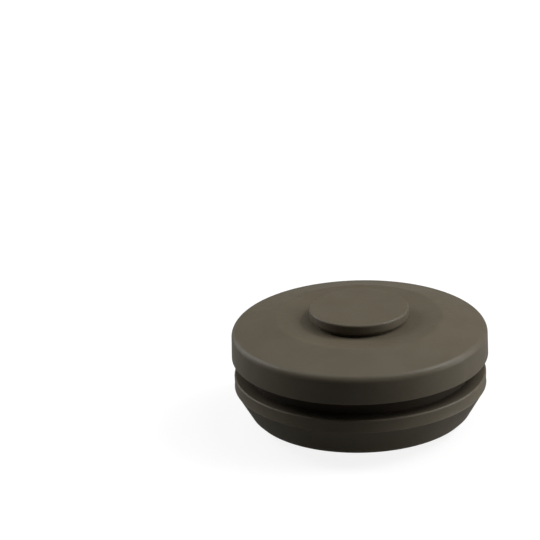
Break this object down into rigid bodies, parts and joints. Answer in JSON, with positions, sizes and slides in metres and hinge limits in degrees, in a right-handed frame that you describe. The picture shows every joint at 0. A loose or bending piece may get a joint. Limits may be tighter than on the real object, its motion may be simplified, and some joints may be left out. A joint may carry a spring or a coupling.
{
  "type": "membrane cable entry",
  "caption": "One-piece rubber cable entry: crowned flange with a raised button over a membrane, groove for the panel, snap ring, and hollow conical nose with a round cable hole.",
  "frame": {"origin": "on the axis, at the centre of the flat lip round the cable hole, which the part stands on", "axes": "+Z along the axis, from the cable hole towards the button; the body is turned, so X and Y are alike"},
  "size_m": [0.0294, 0.0294, 0.014],
  "materials": {
    "rubber": "matt moulded rubber, dark grey-brown"
  },
  "bodies": {
    "root": {"cable_entry": "rubber"}
  },
  "joints": []
}
